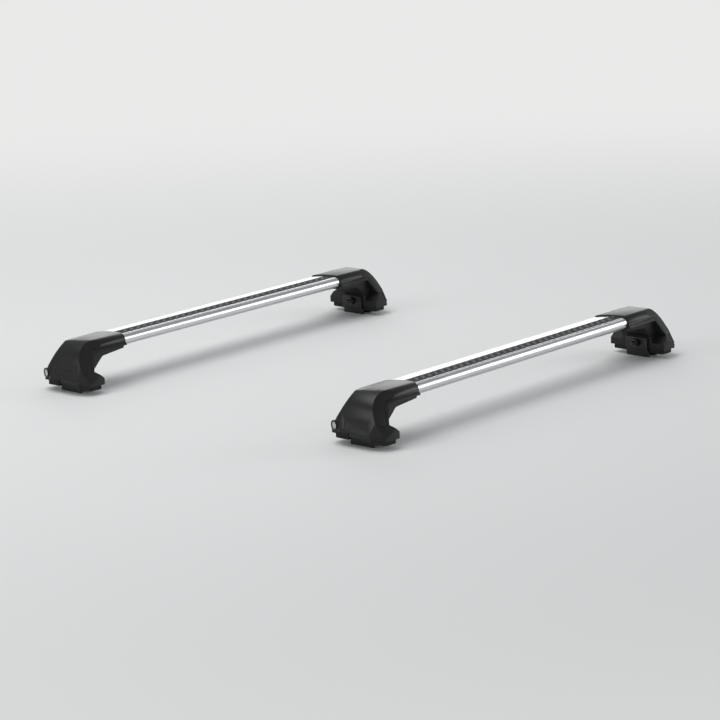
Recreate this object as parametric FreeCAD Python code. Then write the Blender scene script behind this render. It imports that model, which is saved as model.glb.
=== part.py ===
"""A pair of roof cross bars: two aerofoil bars, each carried by two clamp feet on the roof's rails.

Millimetres, +Z up.  +X runs along the bars towards the car's left side, +Y towards its rear.
The origin lies midway between the four feet, on the plane that the clamp jaws stand on.
Each foot is modelled at the car's right side in its own frame (x inwards from the rail's
middle plane, y rearwards from the bar's middle plane) and is mirrored for the left side.
"""
import FreeCAD, Part
import math
import os

os.makedirs("parts", exist_ok=True)
V = FreeCAD.Vector

# The pair
RAIL_SPACING = 856.0        # between the middle planes of the two roof rails
BAR_SPACING = 768.0         # between the middle planes of the two bars

# Bar extrusion: a blunt nose, a thin tail, a crowned top and a flatter belly
NOSE_Y = -28.0
NOSE_Z = 87.5
NOSE_R = 12.0
TAIL_Y = 35.5
TAIL_Z = 89.0
TAIL_R = 4.5
CROWN_R = 300.0
BELLY_R = 210.0
BAR_WALL = 2.4
GROOVE_TURN = 30.0          # place of the fine groove on the nose, from its top, degrees
GROOVE_R = 0.7
BAR_END_INSET = 36.0        # bar end, inwards from the rail's middle plane
SLOT_Y = -13.5              # middle of the load slot in the top
SLOT_MOUTH = 24.0
SLOT_ROOM = 30.0
SLOT_LIP = 2.6
SLOT_DEPTH = 9.5
STRIP_FIT = 0.25
STRIP_SINK = 0.4            # strip's face below the bar's crown
STRIP_FOOT = 2.2            # thickness of the strip's foot under the slot's lips
RIB_PITCH = 18.7
RIB_HEIGHT = 0.9
RIB_WIDTH = 7.0
RIB_SLANT = 38.0

# Foot: hood over the bar end, sloping face, flared flanks
BAR_FIT = 0.4               # air between bar and foot
FOOT_WALL = 2.4
SLEEVE = BAR_FIT + FOOT_WALL    # hood's outside over the bar's outside
HOOD_END = 101.0            # inner end of hood and cradle
CROWN_SPARE = 0.8           # height of the shoulder's start above the hood's crown
SHOULDER_U = 27.0
SHOULDER_R = 55.0
FACE_LEAN = 17.0            # slope of the face from vertical, degrees
FACE_FOOT = 27.0            # height of the face's lower edge
FLANK_REACH = 30.5          # sideways reach of a flank plane over the rail's middle at FLANK_TOP
FLANK_TOP = 92.0
FLANK_TURN = 0.35           # growth of that reach for each mm inwards
FLANK_FLARE = 0.656         # growth of that reach for each mm downwards
FACET_TURN = 21.4           # lower facets, turned from straight outwards
FACET_RISE = 6.0
FACET_U = -30.0
FACET_V = 45.0
FACET_Z = 53.0
FOOT_HALF = 67.0            # half length of the foot along the rail
FOOT_FLARE_Z = 41.0
FOOT_BOTTOM = 18.0
PART_Z = 86.0               # parting line of hood and cradle along the bar
PART_CORNER_U = 9.0
PART_STEP_U = -11.0         # parting line where it meets the base
PART_LOW_U = -22.0
PART_LOW_Z = 46.0
PART_ROUND = 12.0
PART_GAP = 0.7
RECESS_LENGTH = 52.0
RECESS_HEIGHT = 13.0
RECESS_DEPTH = 0.8
RECESS_Z = 43.0
RECESS_ROUND = 2.0

# Foot body: arch under the cradle, base on the rail
ARCH_U = 41.0
ARCH_Z = 67.0
ARCH_ROUND = 10.0
CRADLE_LOW = 72.0           # underside of the cradle at its inner end
BASE_IN_U = 15.0
BASE_TOP = 31.0             # base's inner corners
NECK_FOOT_Z = 43.0          # start of the arch over the inner jaw
BASE_ROUND = 3.0
CRADLE_U = 21.0             # outer end of the cradle's trough
POCKET_RIM = 7.0            # rim left along the parting line round the side pockets
POCKET_WEB = 37.0           # half width of the web between the side pockets
POCKET_TOP = 79.0
POCKET_LOW = 46.0
POCKET_ROUND = 8.0

# Rail clamp
RAIL_HALF = 12.0            # half width of the rail that the jaws take
JAW_T = 3.5
JAW_HALF = 27.0
JAW_LIP = 2.5
JAW_LIP_RISE = 1.0          # slope of the lip's upper side
JAW_LIP_ROUND = 0.8
JAW_ROUND = 1.2
JAW_TOP = 40.0
JAW_SEAT_OUT = -16.0        # where the outer jaw's leg lies on the body
JAW_SEAT_IN = 15.0
JAW_FIT = 0.3
JAW_TRAVEL = 10.0
PAD_FACE = 9.0              # height of the pad's lower face, which rests on the rail
PAD_HALF = 62.0
PAD_FIT = 0.4
PAD_INSET = 2.0             # pad's edge inside the base's edge
PAD_ROUND = 6.0
SCREW_Z = 29.0
SCREW_R = 4.0
SCREW_HEAD_R = 6.5
SCREW_HEAD = 5.5
SCREW_FLANGE_R = 8.5
SCREW_FLANGE = 1.5
SCREW_SOCKET = 5.0
SCREW_SOCKET_DEPTH = 3.8
SCREW_SPARE = 1.0           # screw's end beyond the nut's last place
SCREW_FREE = 0.3
NUT_FIT = 0.06
NUT_ACROSS = 15.0
NUT_T = 7.0
SMALL_SCREW_R = 2.5
SMALL_HEAD_R = 4.6
SMALL_HEAD = 2.6
SMALL_FREE = 0.2
JAW_SCREW_Y = 19.0
JAW_SCREW_LENGTH = 14.0

# Bar fastening, from below through the cradle
BAR_SCREW_US = (62.0, 84.0)
BAR_SCREW_Y = -11.0
BAR_SCREW_R = 3.0
BAR_SCREW_HEAD_R = 5.2
BAR_SCREW_HEAD = 4.0
BAR_SCREW_SPARE = 2.0
PLATE_T = 5.0
PLATE_HALF = 8.0
PLATE_END = 9.0
PLATE_LIFT = 0.1

# Cover hinge in the load slot
HINGE_AHEAD = 1.0           # hinge axis inwards of the hood's end
HINGE_U = HOOD_END + HINGE_AHEAD
HINGE_DROP = 1.6            # hinge axis below the crown of the bar
HINGE_PIN_R = 1.5
HINGE_FIT = 0.06
KNUCKLE_R = 3.0
KNUCKLE_HALF = 6.4
KNUCKLE_WEB = 10.0          # length of the web that carries the knuckle under the hood
CHEEK_HALF = 10.6
CHEEK_R = 3.0
HINGE_BLOCK_BACK = 12.0
HINGE_FREE = 0.4

# Lock in the rear lower corner of the cover
LOCK_TURN = 16.0
LOCK_U = -29.6
LOCK_V = 51.0
LOCK_Z = 36.0
LOCK_R = 6.5
LOCK_FIT = 0.08
LOCK_RIM = 3.2
LOCK_STAND = 3.0            # how far the lock's collar stands out of the facet
LOCK_SINK = 0.6             # barrel's face inside the collar's rim
LOCK_LENGTH = 13.0
LOCK_TAIL = 2.0             # barrel's inner end beyond the collar's
LOCK_ROOM = 0.6             # air round the collar in the body
TONGUE_T = 2.5
TONGUE_W = 7.0
TONGUE_REACH = 13.0
TONGUE_FREE = 1.6
KEY_SLOT_L = 7.0
KEY_SLOT_W = 1.6
KEY_SLOT_D = 3.0

BIG = 400.0                 # reach of cutting shapes that run right through
OVER = 5.0                  # reach of cutting shapes past a face


def prism(corners, start, end, across):
    """Extrudes an outline of (a, b, radius) corners between two places along one axis."""
    def place(a, b):
        return {"x": V(start, a, b), "y": V(a, start, b), "z": V(a, b, start)}[across]

    edges = []
    count = len(corners)
    joins = []
    for i, (a, b, radius) in enumerate(corners):
        here = V(a, b, 0)
        before = V(*corners[i - 1][:2], 0) - here
        after = V(*corners[(i + 1) % count][:2], 0) - here
        before.normalize()
        after.normalize()
        if radius <= 0:
            joins.append((here, here, here))
            continue
        half = before.getAngle(after) / 2
        reach = radius / math.tan(half)
        middle = before + after
        middle.normalize()
        centre = here + middle * (radius / math.sin(half))
        joins.append((here + before * reach, centre - middle * radius, here + after * reach))
    for i, (enter, crest, leave) in enumerate(joins):
        if enter != leave:
            arc = [place(point.x, point.y) for point in (enter, crest, leave)]
            edges.append(Part.Arc(*arc).toShape())
        following = joins[(i + 1) % count][0]
        if (following - leave).Length > 1e-6:
            edges.append(Part.makeLine(place(leave.x, leave.y), place(following.x, following.y)))
    run = {"x": V(end - start, 0, 0), "y": V(0, end - start, 0), "z": V(0, 0, end - start)}[across]
    return Part.Face(Part.Wire(edges)).extrude(run)


def block(x0, x1, y0, y1, z0, z1):
    """A box between two corners."""
    return Part.makeBox(x1 - x0, y1 - y0, z1 - z0, V(x0, y0, z0))


def rod(radius, start, end):
    """A round bar between two points."""
    return Part.makeCylinder(radius, (end - start).Length, start, end - start)


def hexagon(across_flats, x0, x1):
    """A hexagon bar on the clamp screw's axis."""
    corner = across_flats / math.sqrt(3)
    turns = [math.radians(60 * i) for i in range(6)]
    outline = [(corner * math.cos(t), SCREW_Z + corner * math.sin(t), 0) for t in turns]
    return prism(outline, x0, x1, "x")


def beyond(point, normal):
    """What lies outside a plane, as a wide disc that is thick enough to cut with."""
    return Part.makeCylinder(BIG, BIG, point, normal)


def arc_centre(bend, upward):
    """Centre of the crown or belly arc that holds the nose and tail circles inside it."""
    nose = V(0, NOSE_Y, NOSE_Z)
    tail = V(0, TAIL_Y, TAIL_Z)
    span = tail - nose
    chord = span.Length
    from_nose = bend - NOSE_R
    from_tail = bend - TAIL_R
    along = (chord ** 2 + from_nose ** 2 - from_tail ** 2) / (2 * chord)
    off = math.sqrt(from_nose ** 2 - along ** 2)
    side = V(0, -span.z, span.y) * (1 / chord)
    return nose + span * (along / chord) + side * (-off if upward else off)


def on_arc(centre, radius, a, b):
    """Middle point of the arc between two points of a circle, on their own side."""
    way = (a - centre) + (b - centre)
    way.normalize()
    return centre + way * radius


def aerofoil_points(grow):
    """Tangent points and arc middles of the bar's outline, grown by a given amount."""
    nose = V(0, NOSE_Y, NOSE_Z)
    tail = V(0, TAIL_Y, TAIL_Z)
    crown = arc_centre(CROWN_R, True)
    belly = arc_centre(BELLY_R, False)

    def touch(centre, bend, circle):
        way = circle - centre
        way.normalize()
        return centre + way * (bend + grow)

    top_nose = touch(crown, CROWN_R, nose)
    top_tail = touch(crown, CROWN_R, tail)
    low_nose = touch(belly, BELLY_R, nose)
    low_tail = touch(belly, BELLY_R, tail)
    return {
        "top_nose": top_nose,
        "top_tail": top_tail,
        "low_nose": low_nose,
        "low_tail": low_tail,
        "front": nose + V(0, -(NOSE_R + grow), 0),
        "rear": tail + V(0, TAIL_R + grow, 0),
        "crest": on_arc(crown, CROWN_R + grow, top_nose, top_tail),
        "keel": on_arc(belly, BELLY_R + grow, low_nose, low_tail),
        "upper_nose": on_arc(nose, NOSE_R + grow, top_nose, nose + V(0, -(NOSE_R + grow), 0)),
        "upper_tail": on_arc(tail, TAIL_R + grow, top_tail, tail + V(0, TAIL_R + grow, 0)),
    }


def crown_height(grow, y=None):
    """Height of the grown crown at a place across the bar, or at its highest."""
    centre = arc_centre(CROWN_R, True)
    away = 0.0 if y is None else y - centre.y
    return centre.z + math.sqrt((CROWN_R + grow) ** 2 - away ** 2)


def belly_height(grow, y):
    """Height of the grown belly at a place across the bar."""
    centre = arc_centre(BELLY_R, False)
    return centre.z - math.sqrt((BELLY_R + grow) ** 2 - (y - centre.y) ** 2)


def aerofoil(grow, x0, x1):
    """The bar's outline, grown and extruded along the bar."""
    p = aerofoil_points(grow)
    edges = [
        Part.Arc(p["low_nose"], p["front"], p["top_nose"]).toShape(),
        Part.Arc(p["top_nose"], p["crest"], p["top_tail"]).toShape(),
        Part.Arc(p["top_tail"], p["rear"], p["low_tail"]).toShape(),
        Part.Arc(p["low_tail"], p["keel"], p["low_nose"]).toShape(),
    ]
    shape = Part.Face(Part.Wire(edges)).extrude(V(x1 - x0, 0, 0))
    shape.translate(V(x0, 0, 0))
    return shape


def slot_shape(spare, x0, x1):
    """The T-shaped load slot, or the walls round it when it is grown by spare."""
    top = crown_height(0, SLOT_Y)
    mouth = SLOT_MOUTH / 2 + spare
    room = SLOT_ROOM / 2 + spare
    floor = top - SLOT_DEPTH - spare
    lip = top - SLOT_LIP + spare
    neck = block(x0, x1, SLOT_Y - mouth, SLOT_Y + mouth, floor, top + SLOT_DEPTH)
    hall = block(x0, x1, SLOT_Y - room, SLOT_Y + room, floor, lip)
    return neck.fuse(hall).removeSplitter()


def bar_extrusion(half):
    """Hollow extrusion with its load slot, and holes for the screws of both feet."""
    outer = aerofoil(0, -half, half)
    hollow = aerofoil(-BAR_WALL, -half, half).cut(slot_shape(BAR_WALL, -half, half))
    bar = outer.cut(hollow).cut(slot_shape(0, -half, half))
    turn = math.radians(GROOVE_TURN)
    groove = V(0, NOSE_Y - NOSE_R * math.sin(turn), NOSE_Z + NOSE_R * math.cos(turn))
    bar = bar.cut(rod(GROOVE_R, groove - V(half, 0, 0), groove + V(half, 0, 0)))
    for side in (-1, 1):
        for u in BAR_SCREW_US:
            x = side * (RAIL_SPACING / 2 - u)
            low = belly_height(0, BAR_SCREW_Y)
            start = V(x, BAR_SCREW_Y, low - OVER)
            hole = rod(BAR_SCREW_R + SMALL_FREE, start, V(x, BAR_SCREW_Y, low + BAR_WALL + OVER))
            bar = bar.cut(hole)
    return bar


def strip(half):
    """Rubber strip in the load slot: a foot under the lips and slanted ribs on its face."""
    top = crown_height(0, SLOT_Y) - STRIP_SINK
    lip = crown_height(0, SLOT_Y) - SLOT_LIP - STRIP_FIT
    mouth = SLOT_MOUTH / 2 - STRIP_FIT
    room = SLOT_ROOM / 2 - STRIP_FIT
    web = block(-half, half, SLOT_Y - mouth, SLOT_Y + mouth, lip - STRIP_FOOT, top)
    foot = block(-half, half, SLOT_Y - room, SLOT_Y + room, lip - STRIP_FOOT, lip)
    body = web.fuse(foot).removeSplitter()
    lean = (SLOT_MOUTH / 2 - STRIP_FIT) * math.tan(math.radians(RIB_SLANT))
    count = int((2 * half - 2 * lean - RIB_WIDTH) / RIB_PITCH)
    ribs = []
    for i in range(count):
        x = (i - (count - 1) / 2) * RIB_PITCH
        w = RIB_WIDTH / 2
        plan = [(x - lean - w, SLOT_Y - mouth), (x - lean + w, SLOT_Y - mouth)]
        plan += [(x + lean + w, SLOT_Y + mouth), (x + lean - w, SLOT_Y + mouth)]
        ribs.append(prism([(a, b, 0) for a, b in plan], top, top + RIB_HEIGHT, "z"))
    return body.fuse(ribs)


def foot_form(inset):
    """The foot's whole outer form, set in by a wall: side profile, section and slanted planes."""
    crown = crown_height(SLEEVE) + CROWN_SPARE
    centre_z = crown - SHOULDER_R
    lean = math.radians(FACE_LEAN)
    bend = SHOULDER_R - inset
    start = V(SHOULDER_U, 0, centre_z + bend)
    finish = V(SHOULDER_U - bend * math.cos(lean), 0, centre_z + bend * math.sin(lean))
    turn = (math.pi / 2 - lean) / 2
    middle = V(SHOULDER_U - bend * math.sin(turn), 0, centre_z + bend * math.cos(turn))
    low = FACE_FOOT if inset == 0 else FOOT_BOTTOM - OVER
    toe = V(finish.x - (finish.z - low) * math.tan(lean), 0, low)
    end = HOOD_END if inset == 0 else HOOD_END + OVER
    edges = [
        Part.makeLine(V(end, 0, start.z), start),
        Part.Arc(start, middle, finish).toShape(),
        Part.makeLine(finish, toe),
        Part.makeLine(toe, V(end, 0, low)),
        Part.makeLine(V(end, 0, low), V(end, 0, start.z)),
    ]
    profile = Part.Face(Part.Wire(edges)).extrude(V(0, 2 * BIG, 0))
    profile.translate(V(0, -BIG, 0))

    p = aerofoil_points(SLEEVE - inset)
    half = FOOT_HALF - inset
    left_hip = V(0, -half, FOOT_FLARE_Z)
    right_hip = V(0, half, FOOT_FLARE_Z)
    left_toe = V(0, -half, 0)
    right_toe = V(0, half, 0)
    edges = [
        Part.Arc(p["front"], p["upper_nose"], p["top_nose"]).toShape(),
        Part.Arc(p["top_nose"], p["crest"], p["top_tail"]).toShape(),
        Part.Arc(p["top_tail"], p["upper_tail"], p["rear"]).toShape(),
        Part.makeLine(p["rear"], right_hip),
        Part.makeLine(right_hip, right_toe),
        Part.makeLine(right_toe, left_toe),
        Part.makeLine(left_toe, left_hip),
        Part.makeLine(left_hip, p["front"]),
    ]
    section = Part.Face(Part.Wire(edges)).extrude(V(2 * BIG, 0, 0))
    section.translate(V(-BIG, 0, 0))
    form = profile.common(section)

    for side in (-1, 1):
        flank = V(-FLANK_TURN, side, FLANK_FLARE)
        flank.normalize()
        form = form.cut(beyond(V(0, side * FLANK_REACH, FLANK_TOP) - flank * inset, flank))
        facet = facet_normal(side)
        form = form.cut(beyond(V(FACET_U, side * FACET_V, FACET_Z) - facet * inset, facet))
    return form


def facet_normal(side):
    """Outward direction of a lower facet of the foot."""
    turn = math.radians(FACET_TURN)
    rise = math.radians(FACET_RISE)
    return V(-math.cos(turn) * math.cos(rise), side * math.sin(turn) * math.cos(rise), math.sin(rise))


def inside_parting(gap):
    """What lies on the body's side of the parting surface, as a prism across the bar."""
    tilt = math.atan2(PART_CORNER_U - PART_STEP_U, PART_Z - PART_LOW_Z)
    shift = gap / math.cos(tilt) - gap * math.tan(tilt)
    corners = [
        (HOOD_END, PART_Z - gap, 0),
        (PART_CORNER_U + shift, PART_Z - gap, PART_ROUND),
        (PART_STEP_U + shift, PART_LOW_Z - gap, 0),
        (PART_LOW_U + gap, PART_LOW_Z - gap, 0),
        (PART_LOW_U + gap, FOOT_BOTTOM, 0),
        (HOOD_END, FOOT_BOTTOM, 0),
    ]
    return prism(corners, -BIG, BIG, "y")


def lock_place(shape):
    """Turns and moves a shape from the lock's own frame, where +X points out of the lock."""
    shape.rotate(V(0, 0, 0), V(0, 0, 1), 180.0 - LOCK_TURN)
    shape.translate(V(LOCK_U, LOCK_V, LOCK_Z))
    return shape


def foot_cover():
    """Moulded shell: hood over the bar end, sloping face, flanks, lock collar and hinge knuckle."""
    solid = foot_form(0).cut(inside_parting(0))
    collar = lock_place(rod(LOCK_R + LOCK_RIM, V(-LOCK_LENGTH + LOCK_TAIL, 0, 0), V(LOCK_STAND, 0, 0)))
    shell = solid.cut(foot_form(FOOT_WALL))
    shell = shell.fuse(collar).cut(lock_place(rod(LOCK_R + LOCK_FIT, V(-BIG, 0, 0), V(BIG, 0, 0))))
    shell = shell.cut(face_recess())
    z = hinge_height()
    y0 = SLOT_Y - KNUCKLE_HALF
    y1 = SLOT_Y + KNUCKLE_HALF
    knuckle = rod(KNUCKLE_R, V(HINGE_U, y0, z), V(HINGE_U, y1, z))
    web_top = crown_height(SLEEVE) - FOOT_WALL / 2
    web = block(HINGE_U - KNUCKLE_WEB, HINGE_U, y0, y1, z - KNUCKLE_R / 2, web_top)
    shell = shell.fuse(knuckle.fuse(web))
    bore = rod(HINGE_PIN_R + HINGE_FIT, V(HINGE_U, y0 - OVER, z), V(HINGE_U, y1 + OVER, z))
    return shell.cut(bore).removeSplitter()


def face_recess():
    """Shallow bare panel, set into the lower part of the sloping face."""
    lean = math.radians(FACE_LEAN)
    crown = crown_height(SLEEVE) + CROWN_SPARE
    finish_u = SHOULDER_U - SHOULDER_R * math.cos(lean)
    finish_z = crown - SHOULDER_R + SHOULDER_R * math.sin(lean)
    u = finish_u - (finish_z - RECESS_Z) * math.tan(lean)
    h = RECESS_HEIGHT / 2
    w = RECESS_LENGTH / 2
    corners = [(a, b, RECESS_ROUND) for a, b in ((-w, -h), (w, -h), (w, h), (-w, h))]
    panel = prism(corners, -RECESS_DEPTH, OVER, "x")
    panel.rotate(V(0, 0, 0), V(0, 0, 1), 180)
    panel.rotate(V(0, 0, 0), V(0, 1, 0), FACE_LEAN)
    panel.translate(V(u, 0, RECESS_Z))
    return panel


def hinge_height():
    """Height of the cover's hinge axis."""
    return crown_height(0, SLOT_Y) - HINGE_DROP


def jaw_profile(seat, sign, tall):
    """Outline of a clamp jaw, seen along the rail: leg, step under the base, hook and lip."""
    out = seat + sign * JAW_T
    grip = sign * RAIL_HALF
    back = grip + sign * JAW_T
    step = FOOT_BOTTOM - JAW_FIT
    return [
        (seat, tall, 0),
        (out, tall, 0),
        (out, step - JAW_T, 0),
        (back, step - JAW_T, 0),
        (back, 0, JAW_ROUND),
        (grip - sign * JAW_LIP, 0, JAW_LIP_ROUND),
        (grip - sign * JAW_LIP, JAW_LIP, JAW_LIP_ROUND),
        (grip, JAW_LIP + JAW_LIP_RISE, 0),
        (grip, step, 0),
        (seat, step, 0),
    ]


def outer_jaw():
    """Fixed hook of folded steel, with holes for the clamp screw and its two fixing screws."""
    jaw = prism(jaw_profile(JAW_SEAT_OUT, -1, JAW_TOP), -JAW_HALF, JAW_HALF, "y")
    jaw = jaw.cut(rod(SCREW_R + SCREW_FREE, V(-BIG, 0, SCREW_Z), V(0, 0, SCREW_Z)))
    for y in (-JAW_SCREW_Y, JAW_SCREW_Y):
        jaw = jaw.cut(rod(SMALL_SCREW_R + SMALL_FREE, V(-BIG, y, SCREW_Z), V(0, y, SCREW_Z)))
    return jaw


def inner_jaw():
    """Sliding hook of folded steel, drawn outwards by the clamp screw."""
    jaw = prism(jaw_profile(JAW_SEAT_IN + JAW_FIT, 1, JAW_TOP), -JAW_HALF, JAW_HALF, "y")
    return jaw.cut(rod(SCREW_R + SCREW_FREE, V(0, 0, SCREW_Z), V(BIG, 0, SCREW_Z)))


def jaw_nut():
    """Hexagon nut held on the sliding jaw."""
    start = JAW_SEAT_IN + JAW_FIT + JAW_T
    nut = hexagon(NUT_ACROSS, start, start + NUT_T)
    return nut.cut(rod(SCREW_R + NUT_FIT, V(start - OVER, 0, SCREW_Z), V(start + NUT_T + OVER, 0, SCREW_Z)))


def clamp_screw():
    """Clamp screw with a flanged cylinder head and a hexagon socket."""
    seat = JAW_SEAT_OUT - JAW_T
    tip = JAW_SEAT_IN + JAW_FIT + JAW_T + NUT_T + JAW_TRAVEL + SCREW_SPARE
    head_end = seat - SCREW_FLANGE - SCREW_HEAD
    screw = rod(SCREW_R, V(seat - SCREW_FLANGE, 0, SCREW_Z), V(tip, 0, SCREW_Z))
    screw = screw.fuse(rod(SCREW_FLANGE_R, V(seat - SCREW_FLANGE, 0, SCREW_Z), V(seat, 0, SCREW_Z)))
    screw = screw.fuse(rod(SCREW_HEAD_R, V(head_end, 0, SCREW_Z), V(seat - SCREW_FLANGE, 0, SCREW_Z)))
    socket = hexagon(SCREW_SOCKET, head_end - OVER, head_end + SCREW_SOCKET_DEPTH)
    return screw.cut(socket).removeSplitter()


def jaw_screws():
    """Two screws that hold the outer jaw on the body."""
    seat = JAW_SEAT_OUT - JAW_T
    both = []
    for y in (-JAW_SCREW_Y, JAW_SCREW_Y):
        head = rod(SMALL_HEAD_R, V(seat - SMALL_HEAD, y, SCREW_Z), V(seat, y, SCREW_Z))
        shank = rod(SMALL_SCREW_R, V(seat, y, SCREW_Z), V(seat + JAW_SCREW_LENGTH, y, SCREW_Z))
        both.append(head.fuse(shank).removeSplitter())
    return Part.makeCompound(both)


def rail_pad():
    """Rubber pad between the base and the rail, waisted where the jaws pass it."""
    waist = RAIL_HALF - PAD_FIT
    notch = JAW_HALF + PAD_FIT
    wide_in = BASE_IN_U - PAD_INSET
    wide_out = PART_LOW_U + PAD_INSET
    plan = [
        (wide_out, -PAD_HALF, PAD_ROUND),
        (wide_in, -PAD_HALF, PAD_ROUND),
        (wide_in, -notch, 0),
        (waist, -notch, 0),
        (waist, notch, 0),
        (wide_in, notch, 0),
        (wide_in, PAD_HALF, PAD_ROUND),
        (wide_out, PAD_HALF, PAD_ROUND),
        (wide_out, notch, 0),
        (-waist, notch, 0),
        (-waist, -notch, 0),
        (wide_out, -notch, 0),
    ]
    return prism(plan, PAD_FACE, FOOT_BOTTOM, "z")


def foot_body():
    """Structural casting: cradle under the bar, arched neck, base with jaw seats and lock pocket."""
    inner = foot_form(PART_GAP / 2).common(inside_parting(PART_GAP))
    outline = [
        (-BIG, FOOT_BOTTOM, 0),
        (BASE_IN_U, FOOT_BOTTOM, 0),
        (BASE_IN_U, NECK_FOOT_Z, BASE_ROUND),
        (ARCH_U, ARCH_Z, ARCH_ROUND),
        (HOOD_END, CRADLE_LOW, 0),
        (HOOD_END, PART_Z, 0),
        (-BIG, PART_Z, 0),
    ]
    neck = inner.common(prism(outline, -BIG, BIG, "y"))
    tilt = (PART_CORNER_U - PART_STEP_U) / (PART_Z - PART_LOW_Z)
    rim = PART_STEP_U + POCKET_RIM
    pocket = [
        (rim + (POCKET_TOP - PART_LOW_Z) * tilt, POCKET_TOP, POCKET_ROUND),
        (BIG, POCKET_TOP, 0),
        (BIG, BASE_TOP, 0),
        (BASE_IN_U, BASE_TOP, 0),
        (rim + (POCKET_LOW - PART_LOW_Z) * tilt, POCKET_LOW, 0),
    ]
    neck = neck.cut(prism(pocket, -BIG, -POCKET_WEB, "y")).cut(prism(pocket, POCKET_WEB, BIG, "y"))
    cradle = aerofoil(SLEEVE, CRADLE_U, HOOD_END).common(inside_parting(PART_GAP))
    body = neck.fuse(cradle).removeSplitter()
    body = body.cut(aerofoil(BAR_FIT, BAR_END_INSET - BAR_FIT, HOOD_END + OVER))
    jaw_room = JAW_HALF + JAW_FIT
    body = body.cut(block(-BIG, JAW_SEAT_OUT, -jaw_room, jaw_room, 0, JAW_TOP + JAW_FIT))
    body = body.cut(block(JAW_SEAT_IN, BIG, -jaw_room, jaw_room, 0, JAW_TOP + JAW_FIT))
    body = body.cut(rod(SCREW_R + SCREW_FREE, V(-BIG, 0, SCREW_Z), V(BIG, 0, SCREW_Z)))
    for y in (-JAW_SCREW_Y, JAW_SCREW_Y):
        depth = JAW_SEAT_OUT - JAW_T + JAW_SCREW_LENGTH
        body = body.cut(rod(SMALL_SCREW_R, V(-BIG, y, SCREW_Z), V(depth, y, SCREW_Z)))
    for room in lock_rooms():
        body = body.cut(lock_place(room))
    low = belly_height(SLEEVE, BAR_SCREW_Y)
    for u in BAR_SCREW_US:
        start = V(u, BAR_SCREW_Y, low - OVER)
        body = body.cut(rod(BAR_SCREW_R + SMALL_FREE, start, V(u, BAR_SCREW_Y, NOSE_Z)))
        body = body.cut(rod(BAR_SCREW_HEAD_R + SMALL_FREE, start, V(u, BAR_SCREW_Y, low)))
    return body


def lock_rooms():
    """Rooms in the body, in the lock's frame: for the collar, for the tongue's way out and its catch."""
    reach = LOCK_R + LOCK_RIM + LOCK_ROOM
    tail = -LOCK_LENGTH - TONGUE_T - TONGUE_FREE
    half = TONGUE_W / 2 + TONGUE_FREE
    end = TONGUE_REACH + TONGUE_FREE
    collar = block(-LOCK_LENGTH - LOCK_ROOM, BIG, -reach, reach, -reach, BIG)
    way = block(tail, BIG, -half, half, -end, BIG)
    catch = block(tail, -LOCK_LENGTH + TONGUE_FREE, -half, end, -end, half)
    return [collar, way, catch]


def lock_cylinder():
    """Turned lock barrel with its key slot."""
    face = LOCK_STAND - LOCK_SINK
    barrel = rod(LOCK_R, V(-LOCK_LENGTH, 0, 0), V(face, 0, 0))
    half_l = KEY_SLOT_L / 2
    half_w = KEY_SLOT_W / 2
    slot = block(face - KEY_SLOT_D, face + OVER, -half_w, half_w, -half_l, half_l)
    return lock_place(barrel.cut(slot))


def lock_tongue():
    """Flat tongue on the inner end of the lock barrel, pointing down while it is unlocked."""
    half = TONGUE_W / 2
    tail = -LOCK_LENGTH - TONGUE_T
    return lock_place(block(tail, -LOCK_LENGTH, -half, half, -TONGUE_REACH, half))


def hinge_block():
    """Block in the load slot, with two cheeks that hold the hinge pin."""
    top = crown_height(0, SLOT_Y)
    room = SLOT_ROOM / 2 - STRIP_FIT
    floor = top - SLOT_DEPTH
    lip = top - SLOT_LIP - STRIP_FIT
    back = HINGE_U - HINGE_BLOCK_BACK
    front = HINGE_U + CHEEK_R
    base = block(back, front, SLOT_Y - room, SLOT_Y + room, floor, lip)
    cheek_top = min(crown_height(0, SLOT_Y + side * CHEEK_HALF) for side in (-1, 1))
    cheek_back = HINGE_U - CHEEK_R
    cheeks = block(cheek_back, front, SLOT_Y - CHEEK_HALF, SLOT_Y + CHEEK_HALF, floor, cheek_top)
    gap = KNUCKLE_HALF + HINGE_FREE
    z = hinge_height()
    swing = rod(KNUCKLE_R + HINGE_FREE, V(HINGE_U, SLOT_Y - gap, z), V(HINGE_U, SLOT_Y + gap, z))
    room_back = block(back - OVER, HINGE_U, SLOT_Y - gap, SLOT_Y + gap, z - KNUCKLE_R - HINGE_FREE, BIG)
    room_up = block(HINGE_U, front + OVER, SLOT_Y - gap, SLOT_Y + gap, z, BIG)
    hinge = base.fuse(cheeks).cut(swing).cut(room_back).cut(room_up)
    return hinge.cut(hinge_pin()).removeSplitter()


def hinge_pin():
    """Steel pin of the cover's hinge."""
    z = hinge_height()
    return rod(HINGE_PIN_R, V(HINGE_U, SLOT_Y - CHEEK_HALF, z), V(HINGE_U, SLOT_Y + CHEEK_HALF, z))


def bar_screws():
    """Two screws that hold the bar in the cradle."""
    low = belly_height(SLEEVE, BAR_SCREW_Y)
    both = []
    for u in BAR_SCREW_US:
        head = rod(BAR_SCREW_HEAD_R, V(u, BAR_SCREW_Y, low - BAR_SCREW_HEAD), V(u, BAR_SCREW_Y, low))
        tip = low + SLEEVE + BAR_WALL + PLATE_T + BAR_SCREW_SPARE
        shank = rod(BAR_SCREW_R, V(u, BAR_SCREW_Y, low), V(u, BAR_SCREW_Y, tip))
        both.append(head.fuse(shank).removeSplitter())
    return Part.makeCompound(both)


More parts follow.
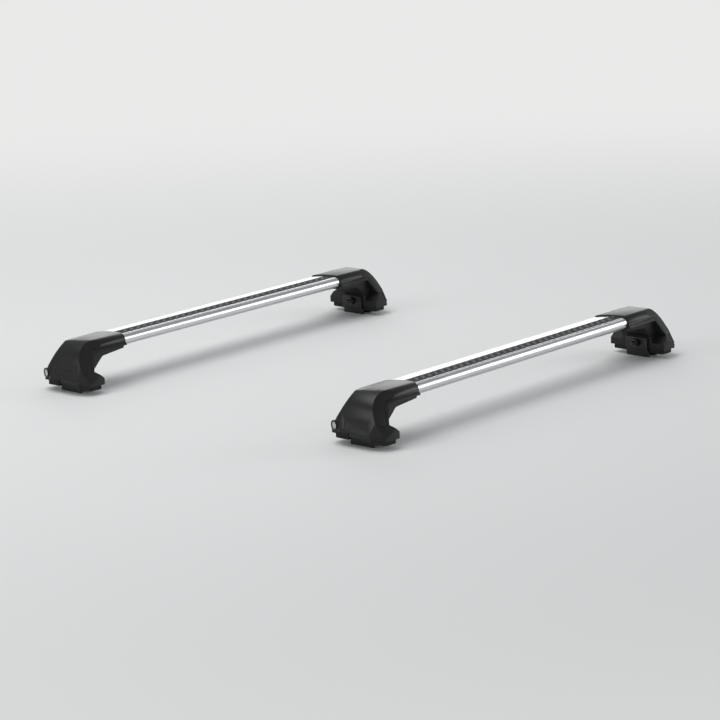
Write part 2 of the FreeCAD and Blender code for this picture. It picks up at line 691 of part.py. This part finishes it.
def nut_plate():
    """Tapped plate inside the bar, which the two bar screws draw down."""
    low = max(belly_height(-BAR_WALL, BAR_SCREW_Y + side * PLATE_HALF) for side in (-1, 1)) + PLATE_LIFT
    first = min(BAR_SCREW_US) - PLATE_END
    last = max(BAR_SCREW_US) + PLATE_END
    plate = block(first, last, BAR_SCREW_Y - PLATE_HALF, BAR_SCREW_Y + PLATE_HALF, low, low + PLATE_T)
    for u in BAR_SCREW_US:
        start = V(u, BAR_SCREW_Y, low - OVER)
        plate = plate.cut(rod(BAR_SCREW_R + NUT_FIT, start, V(u, BAR_SCREW_Y, low + PLATE_T + OVER)))
    return plate


def place(shape, side, bar_y):
    """Sets a foot's piece at its corner of the roof; the left side is the mirror of the right."""
    if side > 0:
        shape = shape.mirror(V(0, 0, 0), V(1, 0, 0))
    else:
        shape = shape.copy()
    shape.translate(V(side * RAIL_SPACING / 2, bar_y, 0))
    return shape


FOOT_PIECES = {
    "foot_body": foot_body(),
    "cover": foot_cover(),
    "lock_cylinder": lock_cylinder(),
    "lock_tongue": lock_tongue(),
    "hinge_block": hinge_block(),
    "hinge_pin": hinge_pin(),
    "rail_pad": rail_pad(),
    "outer_jaw": outer_jaw(),
    "inner_jaw": inner_jaw(),
    "jaw_nut": jaw_nut(),
    "clamp_screw": clamp_screw(),
    "jaw_screws": jaw_screws(),
}
BAR_HALF = RAIL_SPACING / 2 - BAR_END_INSET
STRIP_HALF = RAIL_SPACING / 2 - HINGE_U - CHEEK_R - STRIP_FIT

for bar, bar_y in (("front", -BAR_SPACING / 2), ("rear", BAR_SPACING / 2)):
    for name, shape in (("bar", bar_extrusion(BAR_HALF)), ("strip", strip(STRIP_HALF))):
        shape.translate(V(0, bar_y, 0))
        shape.exportStep(f"parts/{bar}_{name}.step")
    for name, shape in (("bar_screws", bar_screws()), ("nut_plates", nut_plate())):
        pair = Part.makeCompound([place(shape, -1, bar_y), place(shape, 1, bar_y)])
        pair.exportStep(f"parts/{bar}_{name}.step")
    for hand, side in (("right", -1), ("left", 1)):
        for name, shape in FOOT_PIECES.items():
            place(shape, side, bar_y).exportStep(f"parts/{bar}_{hand}_{name}.step")
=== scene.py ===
import math

import bmesh
import bpy
from mathutils import Matrix, Vector
from mathutils.bvhtree import BVHTree


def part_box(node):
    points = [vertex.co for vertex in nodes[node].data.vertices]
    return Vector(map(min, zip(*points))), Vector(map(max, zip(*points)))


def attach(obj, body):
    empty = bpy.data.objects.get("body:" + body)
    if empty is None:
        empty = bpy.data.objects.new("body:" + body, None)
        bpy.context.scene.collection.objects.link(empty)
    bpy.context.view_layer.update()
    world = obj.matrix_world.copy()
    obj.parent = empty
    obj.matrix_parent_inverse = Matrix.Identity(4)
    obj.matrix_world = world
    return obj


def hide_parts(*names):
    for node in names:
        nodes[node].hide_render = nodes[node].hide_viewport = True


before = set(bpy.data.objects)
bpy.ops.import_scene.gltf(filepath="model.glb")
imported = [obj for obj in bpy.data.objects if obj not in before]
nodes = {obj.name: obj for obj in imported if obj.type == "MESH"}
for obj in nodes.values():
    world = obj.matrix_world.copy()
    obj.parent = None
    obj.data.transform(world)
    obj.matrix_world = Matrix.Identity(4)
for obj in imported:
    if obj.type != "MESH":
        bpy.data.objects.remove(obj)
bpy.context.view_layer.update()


# The stage: a pale seamless floor under broad soft lamps, seen from the car's right front corner,
# a little above the bars, with a long lens as in the photograph.
PICTURE = 720.0
SENSOR_MM, LENS_MM = 36.0, 153.482
TURN, RISE, ROLL = math.radians(-48.54), math.radians(12.84), math.radians(-2.09)
AWAY = 6.182
LOOK_HEIGHT = 0.060
AXIS_X, AXIS_Y = 361.16, 343.05
SIGHT = 200.0

back = Vector((math.sin(TURN) * math.cos(RISE), -math.cos(TURN) * math.cos(RISE), math.sin(RISE)))
level = Vector((math.cos(TURN), math.sin(TURN), 0.0))
upward = back.cross(level)
across = level * math.cos(ROLL) + upward * math.sin(ROLL)
upright = upward * math.cos(ROLL) - level * math.sin(ROLL)
lens = bpy.data.cameras.new("photo_camera")
lens.sensor_width = SENSOR_MM
lens.lens = LENS_MM
lens.shift_x = (PICTURE / 2 - AXIS_X) / PICTURE
lens.shift_y = (AXIS_Y - PICTURE / 2) / PICTURE
lens.clip_end = SIGHT
eye = bpy.data.objects.new("photo_camera", lens)
turned = Matrix((across, upright, back)).transposed().to_4x4()
turned.translation = back * AWAY + Vector((0.0, 0.0, LOOK_HEIGHT))
eye.matrix_world = turned
bpy.context.scene.collection.objects.link(eye)
bpy.context.scene.camera = eye
bpy.context.scene.view_settings.view_transform = "Standard"

LAMP_AIM = Vector((0.0, 0.0, 0.08))
for name, place, size, watts in (
    ("sky_panel", (-0.8, 0.8, 3.6), 3.0, 62.0),
    ("nose_panel", (3.4, -2.8, 0.75), 2.4, 40.0),
    ("tail_panel", (3.4, 3.4, 1.0), 4.4, 66.0),
    ("face_panel", (-3.6, 1.6, 1.7), 1.8, 20.0),
):
    lamp = bpy.data.lights.new(name, "AREA")
    lamp.shape = "DISK"
    lamp.size = size
    lamp.energy = watts
    panel = bpy.data.objects.new(name, lamp)
    panel.location = place
    panel.rotation_euler = (LAMP_AIM - Vector(place)).to_track_quat("-Z", "Y").to_euler()
    bpy.context.scene.collection.objects.link(panel)

MIX_A, MIX_B, MIX_RESULT = 6, 7, 2
PALE = (0.82, 0.82, 0.815)
ROOM_GREY = (0.34, 0.35, 0.36)
world = bpy.data.worlds.new("soft_room")
world.use_nodes = True
room = world.node_tree
path = room.nodes.new("ShaderNodeLightPath")
backdrop = room.nodes.new("ShaderNodeMix")
backdrop.data_type = "RGBA"
backdrop.inputs[MIX_A].default_value = (*ROOM_GREY, 1.0)
backdrop.inputs[MIX_B].default_value = (*PALE, 1.0)
room.links.new(path.outputs["Is Camera Ray"], backdrop.inputs[0])
room.links.new(backdrop.outputs[MIX_RESULT], room.nodes["Background"].inputs["Color"])
bpy.context.scene.world = world


class Value:
    """A shader socket that can be added and multiplied."""

    def __init__(self, finish, socket):
        self.finish = finish
        self.socket = socket

    def combine(self, kind, other):
        return self.finish.node("ShaderNodeMath", {"operation": kind}, {0: self, 1: other})

    def __add__(self, other):
        return self.combine("ADD", other)

    def __mul__(self, other):
        return self.combine("MULTIPLY", other)

    __radd__ = __add__
    __rmul__ = __mul__


class Finish:
    """A material whose nodes are written as calls."""

    NOISE_ROUGHNESS = 0.55

    def __init__(self, name):
        self.material = bpy.data.materials.new(name)
        self.material.use_nodes = True
        self.tree = self.material.node_tree
        self.shader = self.tree.nodes["Principled BSDF"]

    def node(self, kind, settings, inputs, output=0):
        made = self.tree.nodes.new(kind)
        for key, value in settings.items():
            setattr(made, key, value)
        for key, value in inputs.items():
            self.feed(made.inputs[key], value)
        return Value(self, made.outputs[output])

    def feed(self, socket, value):
        if isinstance(value, Value):
            self.tree.links.new(value.socket, socket)
        else:
            socket.default_value = value

    def set(self, **values):
        for key, value in values.items():
            self.feed(self.shader.inputs[key.replace("_", " ").title()], value)

    def gloss(self, level):
        self.feed(self.shader.inputs["Specular IOR Level"], level)

    def place(self, stretch):
        here = self.node("ShaderNodeTexCoord", {}, {}, "Object")
        return self.node("ShaderNodeMapping", {}, {"Vector": here, "Scale": stretch})

    def noise(self, stretch, scale, detail):
        inputs = {"Vector": self.place(stretch), "Scale": scale, "Detail": detail}
        return self.node("ShaderNodeTexNoise", {}, {**inputs, "Roughness": self.NOISE_ROUGHNESS})

    def blend(self, factor, dark, light):
        inputs = {0: factor, MIX_A: (*dark, 1.0), MIX_B: (*light, 1.0)}
        return self.node("ShaderNodeMix", {"data_type": "RGBA"}, inputs, MIX_RESULT)

    def bump(self, height, strength, distance):
        inputs = {"Strength": strength, "Distance": distance, "Height": height}
        self.feed(self.shader.inputs["Normal"], self.node("ShaderNodeBump", {}, inputs))


EVEN = (1.0, 1.0, 1.0)
FLOOR_HALF = 60.0
FADE_NEAR, FADE_FAR = 1.1, 3.6
corners = [(-FLOOR_HALF, -FLOOR_HALF, 0.0), (FLOOR_HALF, -FLOOR_HALF, 0.0)]
corners += [(FLOOR_HALF, FLOOR_HALF, 0.0), (-FLOOR_HALF, FLOOR_HALF, 0.0)]
floor_mesh = bpy.data.meshes.new("floor")
floor_mesh.from_pydata(corners, [], [(0, 1, 2, 3)])
floor = bpy.data.objects.new("floor", floor_mesh)
bpy.context.scene.collection.objects.link(floor)
paper = Finish("pale_floor")
paper.set(base_color=(0.86, 0.86, 0.855, 1.0), roughness=0.9)
out = paper.node("ShaderNodeVectorMath", {"operation": "LENGTH"}, {0: paper.place(EVEN)}, "Value")
fade = paper.node(
    "ShaderNodeMapRange",
    {"interpolation_type": "SMOOTHSTEP"},
    {"Value": out, "From Min": FADE_NEAR, "From Max": FADE_FAR},
)
glow = paper.node("ShaderNodeEmission", {}, {"Color": (*PALE, 1.0)})
lit = Value(paper, paper.shader.outputs[0])
sheet = paper.node("ShaderNodeMixShader", {}, {0: fade, 1: lit, 2: glow})
paper.feed(paper.tree.nodes["Material Output"].inputs["Surface"], sheet)
floor_mesh.materials.append(paper.material)


# The two bars: hollow aluminium extrusions, drawn to an aerofoil with a T-shaped slot in the top,
# blasted and clear anodised, so that the drawing lines still show faintly along their length.
BARS = ("front", "rear")
ALONG_BAR = (0.6, 60.0, 60.0)

anodised = Finish("anodised_aluminium")
drawn = anodised.noise(ALONG_BAR, 14.0, 4.0)
cloud = anodised.noise(EVEN, 9.0, 2.0)
anodised.set(
    base_color=anodised.blend(drawn, (0.62, 0.63, 0.645), (0.74, 0.75, 0.76)),
    metallic=1.0,
    roughness=0.20 + 0.08 * drawn + 0.05 * cloud,
)
anodised.bump(drawn, 0.05, 0.0002)


def dress(node, finish):
    """Gives a CAD node's object one finish all over."""
    mesh = nodes[node].data
    mesh.materials.clear()
    mesh.materials.append(finish.material)


for bar in BARS:
    dress(f"{bar}_bar", anodised)


# Rubber strips, extruded: a web in the load slot and a thin cap that lies on the slot's lips.
# Slanted ribs run across the cap like the lay of a rope, to stop a load from sliding.
RIB_PITCH = 0.0187
RIB_WIDTH = 0.0100
RIB_HEIGHT = 0.0008
RIB_SLANT = math.radians(38.0)
RIB_STEPS = 8
RIB_RUN_OUT = 2
CAP = 0.0003
CAP_AHEAD, CAP_BEHIND = 0.0156, 0.0146
CAP_STEPS = 16
WEB_HALF = 0.01175
WEB_DEPTH = 0.0046
MOUTH_HALF = 0.0130
PROBE_X, PROBE_HEIGHT = 0.011, 1.0

ribbed = Finish("strip_rubber")
dust_and_sheen = ribbed.noise(EVEN, 60.0, 5.0)
crest_highlight = ribbed.node("ShaderNodeAttribute", {"attribute_name": "crest_highlight"}, {}, "Fac")
# The rib crests are painted lighter by their height, a painted highlight standing for light caught on
# the ribs; dust noise varies it and the roughness.
ribbed.set(
    base_color=ribbed.blend(crest_highlight * (0.6 + 0.4 * dust_and_sheen), (0.006, 0.006, 0.007), (0.12, 0.12, 0.125)),
    roughness=0.55 + 0.25 * dust_and_sheen,
)
ribbed.gloss(0.2)
ribbed.bump(ribbed.noise(EVEN, 900.0, 2.0), 0.15, 0.0002)


def cap_line(bar):
    """Places across the cap, from the slot's middle, with the height of the bar's top there."""
    low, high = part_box(f"{bar}_strip")
    middle = (low[1] + high[1]) / 2
    skin = nodes[f"{bar}_bar"]
    points = [skin.matrix_world @ vert.co for vert in skin.data.vertices]
    tree = BVHTree.FromPolygons(points, [tuple(face.vertices) for face in skin.data.polygons])

    def height(off):
        start = Vector((PROBE_X, middle + off, PROBE_HEIGHT))
        return tree.ray_cast(start, Vector((0.0, 0.0, -1.0)))[0].z

    ahead, behind = height(-MOUTH_HALF), height(MOUTH_HALF)
    line = []
    for i in range(CAP_STEPS + 1):
        off = -CAP_AHEAD + (CAP_AHEAD + CAP_BEHIND) * i / CAP_STEPS
        share = (off + MOUTH_HALF) / (2 * MOUTH_HALF)
        inside = 0.0 < share < 1.0
        line.append((off, ahead + (behind - ahead) * share if inside else height(off)))
    return middle, line


def rib_mesh(line):
    """One slanted rib with a rounded back, which follows the cap; its height across the rib is kept so
    that the finish paints its crest lighter, as a painted highlight.
    """
    verts, lifts = [], []
    for row, (off, height) in enumerate(line):
        full = min(1.0, min(row, len(line) - 1 - row) / RIB_RUN_OUT)
        for i in range(RIB_STEPS + 1):
            t = -1.0 + 2.0 * i / RIB_STEPS
            rise = full * math.sqrt(max(0.0, 1.0 - t * t))
            along = off * math.tan(RIB_SLANT) + t * RIB_WIDTH / 2
            verts.append((along, off, height + CAP + RIB_HEIGHT * rise))
            lifts.append(rise)
    wide = RIB_STEPS + 1
    faces = []
    for row in range(len(line) - 1):
        for i in range(RIB_STEPS):
            k = row * wide + i
            faces.append((k, k + 1, k + 1 + wide, k + wide))
    mesh = bpy.data.meshes.new("strip_rib")
    mesh.from_pydata(verts, [], faces)
    mesh.attributes.new("crest_highlight", "FLOAT", "POINT").data.foreach_set("value", lifts)
    mesh.shade_smooth()
    return mesh


def strip_mesh(name, line, middle, ends):
    """The cap and the web under it, from one end of the strip to the other."""
    outline = []
    for i, (off, height) in enumerate(line):
        outline.append((middle + off, height + (CAP if 0 < i < CAP_STEPS else 0.0)))
    mouth = min(height for off, height in line if abs(off) < MOUTH_HALF)
    outline += [(middle + WEB_HALF, mouth), (middle + WEB_HALF, mouth - WEB_DEPTH)]
    outline += [(middle - WEB_HALF, mouth - WEB_DEPTH), (middle - WEB_HALF, mouth)]
    count = len(outline)
    verts = [(x, y, z) for x in ends for y, z in outline]
    faces = []
    for i in range(count):
        n = (i + 1) % count
        faces.append((i, n, n + count, i + count))
    faces += [tuple(range(count))[::-1], tuple(range(count, 2 * count))]
    mesh = bpy.data.meshes.new(name)
    mesh.from_pydata(verts, [], faces)
    return mesh


def rows_tree(name):
    """A node tree that lays copies of one piece in a straight row on its host."""
    tree = bpy.data.node_groups.new(name, "GeometryNodeTree")
    ports = tree.interface
    ports.new_socket(name="Geometry", in_out="OUTPUT", socket_type="NodeSocketGeometry")
    sockets = {}
    for label, kind in (
        ("Host", "Geometry"),
        ("Piece", "Object"),
        ("Count", "Int"),
        ("Start", "Vector"),
        ("Step", "Vector"),
        ("Finish", "Material"),
    ):
        socket = ports.new_socket(name=label, in_out="INPUT", socket_type=f"NodeSocket{kind}")
        sockets[label] = socket.identifier
    make = tree.nodes.new
    given = make("NodeGroupInput")
    row = make("GeometryNodeMeshLine")
    info = make("GeometryNodeObjectInfo")
    lay = make("GeometryNodeInstanceOnPoints")
    real = make("GeometryNodeRealizeInstances")
    join = make("GeometryNodeJoinGeometry")
    coat = make("GeometryNodeSetMaterial")
    done = make("NodeGroupOutput")
    for source, target in (
        (given.outputs["Count"], row.inputs["Count"]),
        (given.outputs["Start"], row.inputs["Start Location"]),
        (given.outputs["Step"], row.inputs["Offset"]),
        (given.outputs["Piece"], info.inputs["Object"]),
        (row.outputs["Mesh"], lay.inputs["Points"]),
        (info.outputs["Geometry"], lay.inputs["Instance"]),
        (lay.outputs["Instances"], real.inputs["Geometry"]),
        (given.outputs["Host"], join.inputs["Geometry"]),
        (real.outputs["Geometry"], join.inputs["Geometry"]),
        (join.outputs["Geometry"], coat.inputs["Geometry"]),
        (given.outputs["Finish"], coat.inputs["Material"]),
        (coat.outputs["Geometry"], done.inputs["Geometry"]),
    ):
        tree.links.new(source, target)
    return tree, sockets


def rowed(name, host, tree, sockets, values):
    """Runs a row tree on a host mesh and returns the result as a plain object."""
    carrier = bpy.data.objects.new(name, host)
    bpy.context.scene.collection.objects.link(carrier)
    layer = carrier.modifiers.new("row", "NODES")
    layer.node_group = tree
    for label, value in values.items():
        layer[sockets[label]] = value
    bpy.context.view_layer.update()
    result = carrier.evaluated_get(bpy.context.evaluated_depsgraph_get())
    mesh = bpy.data.meshes.new_from_object(result)
    carrier.modifiers.remove(layer)
    carrier.data = mesh
    return carrier


rib_rows, rib_sockets = rows_tree("rib_rows")
for bar in BARS:
    middle, line = cap_line(bar)
    rib = bpy.data.objects.new(f"{bar}_strip_rib", rib_mesh(line))
    bpy.context.scene.collection.objects.link(rib)
    low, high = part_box(f"{bar}_strip")
    span = high[0] - low[0] - 2 * CAP_AHEAD * math.tan(RIB_SLANT) - RIB_WIDTH
    count = int(span / RIB_PITCH) + 1
    values = {
        "Piece": rib,
        "Count": count,
        "Start": (-(count - 1) / 2 * RIB_PITCH, middle, 0.0),
        "Step": (RIB_PITCH, 0.0, 0.0),
        "Finish": ribbed.material,
    }
    web = strip_mesh(f"{bar}_strip_web", line, middle, (low[0], high[0]))
    strip = rowed(f"{bar}_ribbed_strip", web, rib_rows, rib_sockets, values)
    bpy.data.objects.remove(rib)
    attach(strip, "rack")
    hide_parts(f"{bar}_strip")


# Bar screws and tapped plates: zinc plated steel with a fine spangle.
# The screws come up through the cradle and draw the plates down inside the bar.
SAME_POINT = 0.000002
SAME_PLANE = math.radians(0.8)
CORNER = math.radians(21.0)
EDGE_STEPS = 3
SCREW_EDGE = 0.0004

plated = Finish("zinc_plate")
spangle = plated.noise(EVEN, 240.0, 3.0)
plated.set(
    base_color=plated.blend(spangle, (0.50, 0.50, 0.48), (0.70, 0.70, 0.67)),
    metallic=1.0,
    roughness=0.28 + 0.2 * spangle,
)


def moulded(node, body, finish, edge):
    """A copy of a CAD node with its corners broken by a small radius, which stands for the node."""
    mesh = nodes[node].data.copy()
    mesh.name = f"{node}_dressed"
    shape = bmesh.new()
    shape.from_mesh(mesh)
    bmesh.ops.remove_doubles(shape, verts=shape.verts, dist=SAME_POINT)
    bmesh.ops.dissolve_limit(shape, angle_limit=SAME_PLANE, verts=shape.verts, edges=shape.edges)
    shape.to_mesh(mesh)
    shape.free()
    mesh.shade_smooth()
    mesh.materials.clear()
    mesh.materials.append(finish.material)
    piece = bpy.data.objects.new(f"{node}_dressed", mesh)
    bpy.context.scene.collection.objects.link(piece)
    broken = piece.modifiers.new("edge", "BEVEL")
    broken.width = edge
    broken.segments = EDGE_STEPS
    broken.limit_method = "ANGLE"
    broken.angle_limit = CORNER
    broken.miter_outer = "MITER_ARC"
    broken.harden_normals = True
    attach(piece, body)
    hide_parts(node)


for bar in BARS:
    moulded(f"{bar}_bar_screws", "rack", plated, SCREW_EDGE)
    dress(f"{bar}_nut_plates", plated)


# The foot bodies and hinge blocks: glass filled nylon, moulded with a coarse matt skin.
# They carry the bar in a cradle and stand on the rail; the hinge blocks slide into the load slot.
FEET = ("front_right", "front_left", "rear_right", "rear_left")
BODY_EDGE = 0.0008

nylon = Finish("filled_nylon")
grain = nylon.noise(EVEN, 700.0, 3.0)
flow = nylon.noise((1.0, 1.0, 0.4), 22.0, 4.0)
nylon.set(
    base_color=nylon.blend(flow, (0.008, 0.008, 0.0085), (0.016, 0.016, 0.0165)),
    roughness=0.40 + 0.18 * flow,
)
nylon.gloss(0.32)
nylon.bump(grain, 0.2, 0.0003)
for foot in FEET:
    moulded(f"{foot}_foot_body", "rack", nylon, BODY_EDGE)
    dress(f"{foot}_hinge_block", nylon)
    dress(f"{foot}_hinge_pin", plated)


# Rail pads of soft black rubber that lie between each base and its rail.
# They are moulded, and their skin is dull with a faint bloom.
PAD_EDGE = 0.0010

soft = Finish("pad_rubber")
bloom = soft.noise(EVEN, 35.0, 4.0)
soft.set(
    base_color=soft.blend(bloom, (0.006, 0.006, 0.0065), (0.014, 0.014, 0.0145)),
    roughness=0.7 + 0.2 * bloom,
)
soft.bump(soft.noise(EVEN, 500.0, 3.0), 0.2, 0.0003)
for foot in FEET:
    moulded(f"{foot}_rail_pad", "rack", soft, PAD_EDGE)


# The clamp jaws: folded steel plate, powder coated black with a slight orange peel.
# The outer one is screwed to the body; the inner one slides on the clamp screw with its nut.
JAW_EDGE = 0.0005

powder = Finish("powder_coat")
peel = powder.noise(EVEN, 320.0, 2.0)
powder.set(
    base_color=powder.blend(peel, (0.007, 0.0075, 0.008), (0.014, 0.0145, 0.015)),
    roughness=0.36 + 0.12 * peel,
)
powder.bump(peel, 0.18, 0.0004)
for foot in FEET:
    moulded(f"{foot}_outer_jaw", "rack", powder, JAW_EDGE)
    moulded(f"{foot}_inner_jaw", f"{foot}_jaw", powder, JAW_EDGE)


# The clamp screws with the nuts they run in, in black zinc, and the bright screws of the outer jaws:
# cold headed steel with a pressed hexagon socket.  The clamp screws carry a rolled thread.
SIDES = 24
PITCH = 0.00125
THREAD_DEPTH = 0.00062
THREAD_FROM = 0.030
THREAD_STEPS = 6
SHARP = math.radians(38.0)
NUT_EDGE = 0.0005
HEAD_R, HEAD = 0.0065, 0.0055
FLANGE_R, FLANGE = 0.0085, 0.0015
SHANK_R = 0.0040
SOCKET, SOCKET_DEPTH = 0.0025, 0.0038
BREAK = 0.0004
BUTTON_R, BUTTON = 0.0046, 0.0026
BUTTON_SHANK = 0.0025
BUTTON_SOCKET, BUTTON_SOCKET_DEPTH = 0.0015, 0.6 * BUTTON
BUTTON_DOME = ((0.7, 0.1), (0.9, 0.35), (1.0, 0.75), (1.0, 1.0))


def ring(radius, along, six_sided=False):
    """One ring of a turned piece; a six-sided one has the radius across its flats."""
    points = []
    for i in range(SIDES):
        turn = 2 * math.pi * i / SIDES
        off = (turn % (math.pi / 3)) - math.pi / 6
        reach = radius / math.cos(off) if six_sided else radius
        points.append((along, reach * math.cos(turn), reach * math.sin(turn)))
    return points


def thread(radius, start, end):
    """Rings of a right-handed thread."""
    rings = []
    for k in range(int((end - start) / PITCH * THREAD_STEPS) + 1):
        along = start + k * PITCH / THREAD_STEPS
        points = []
        for i in range(SIDES):
            phase = (along / PITCH - i / SIDES) % 1.0
            reach = radius - THREAD_DEPTH * abs(2 * phase - 1)
            turn = 2 * math.pi * i / SIDES
            points.append((along, reach * math.cos(turn), reach * math.sin(turn)))
        rings.append(points)
    return rings


def turned_mesh(name, pieces):
    """Joins rings into closed skins: each piece is its rings, the head's place and the way it points."""
    shape = bmesh.new()
    for rings, (x, y, z), way in pieces:
        rows = []
        for points in rings:
            rows.append([shape.verts.new((x + way * a, y + way * b, z + c)) for a, b, c in points])
        for row, after in zip(rows, rows[1:]):
            for i in range(SIDES):
                n = (i + 1) % SIDES
                shape.faces.new((row[i], after[i], after[n], row[n]))
        shape.faces.new(rows[0])
        shape.faces.new(rows[-1][::-1])
    for face in shape.faces:
        face.smooth = True
    bmesh.ops.recalc_face_normals(shape, faces=shape.faces)
    for edge in shape.edges:
        edge.smooth = edge.calc_face_angle(0.0) < SHARP
    mesh = bpy.data.meshes.new(name)
    shape.to_mesh(mesh)
    shape.free()
    return mesh


def screw_piece(node, body, finish, pieces):
    """A turned piece that stands for a node of screws."""
    mesh = turned_mesh(f"{node}_turned", pieces)
    mesh.materials.append(finish.material)
    piece = bpy.data.objects.new(f"{node}_turned", mesh)
    bpy.context.scene.collection.objects.link(piece)
    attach(piece, body)
    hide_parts(node)


def clamp_rings(length):
    """The clamp screw from the bottom of its socket, round its flanged head, to its tip."""
    return [
        ring(SOCKET, SOCKET_DEPTH, True),
        ring(SOCKET, BREAK, True),
        ring(SOCKET + 2 * BREAK, 0.0),
        ring(HEAD_R - BREAK, 0.0),
        ring(HEAD_R, BREAK),
        ring(HEAD_R, HEAD),
        ring(FLANGE_R - BREAK, HEAD + BREAK / 2),
        ring(FLANGE_R, HEAD + BREAK),
        ring(FLANGE_R, HEAD + FLANGE),
        ring(SHANK_R, HEAD + FLANGE),
        ring(SHANK_R, THREAD_FROM),
        *thread(SHANK_R, THREAD_FROM + PITCH / 2, length - PITCH),
        ring(SHANK_R - 2 * THREAD_DEPTH, length),
    ]


def button_rings(length):
    """A domed jaw screw from the bottom of its socket to its tip."""
    return [
        ring(BUTTON_SOCKET, BUTTON_SOCKET_DEPTH, True),
        ring(BUTTON_SOCKET, BREAK / 2, True),
        ring(BUTTON_SOCKET + BREAK, 0.0),
        *(ring(wide * BUTTON_R, deep * BUTTON) for wide, deep in BUTTON_DOME),
        ring(BUTTON_SHANK, BUTTON),
        ring(BUTTON_SHANK, length),
    ]


blackened = Finish("black_zinc")
wear = blackened.noise(EVEN, 300.0, 3.0)
blackened.set(
    base_color=blackened.blend(wear, (0.045, 0.045, 0.048), (0.11, 0.11, 0.115)),
    metallic=1.0,
    roughness=0.34 + 0.2 * wear,
)
for foot in FEET:
    moulded(f"{foot}_jaw_nut", f"{foot}_jaw", blackened, NUT_EDGE)
    way = -1.0 if foot.endswith("left") else 1.0
    low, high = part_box(f"{foot}_clamp_screw")
    head = (low[0] if way > 0 else high[0], (low[1] + high[1]) / 2, (low[2] + high[2]) / 2)
    rings = clamp_rings(high[0] - low[0])
    screw_piece(f"{foot}_clamp_screw", f"{foot}_screw", blackened, [(rings, head, way)])
    low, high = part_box(f"{foot}_jaw_screws")
    end = low[0] if way > 0 else high[0]
    middle = (low[2] + high[2]) / 2
    button = button_rings(high[0] - low[0])
    places = [(end, y, middle) for y in (low[1] + BUTTON_R, high[1] - BUTTON_R)]
    screw_piece(f"{foot}_jaw_screws", "rack", plated, [(button, place, way) for place in places])


# The covers: injection moulded shells of near black plastic with a fine satin spark grain.
# Each hinges on a pin at the inner end of its hood and hides the clamp when it is shut.
COVER_EDGE = 0.0016

satin = Finish("satin_plastic")
spark = satin.noise(EVEN, 1400.0, 2.0)
haze = satin.noise((1.0, 1.0, 0.6), 16.0, 4.0)
satin.set(
    base_color=satin.blend(haze, (0.011, 0.011, 0.0115), (0.019, 0.019, 0.0195)),
    roughness=0.24 + 0.12 * haze + 0.04 * spark,
)
satin.gloss(0.32)
satin.bump(spark, 0.10, 0.0002)
for foot in FEET:
    moulded(f"{foot}_cover", f"{foot}_lid", satin, COVER_EDGE)


# Lock barrels, turned from brass and nickel plated, with the key slot milled in the face.
# A flat zinc plated tongue is riveted on the inner end and catches under the foot body.
BARREL_EDGE = 0.0004

nickel = Finish("turned_nickel")
turning = nickel.noise(EVEN, 400.0, 3.0)
nickel.set(
    base_color=nickel.blend(turning, (0.60, 0.57, 0.54), (0.76, 0.73, 0.70)),
    metallic=1.0,
    roughness=0.24 + 0.16 * turning,
)
for foot in FEET:
    moulded(f"{foot}_lock_cylinder", f"{foot}_lock", nickel, BARREL_EDGE)
    dress(f"{foot}_lock_tongue", plated)
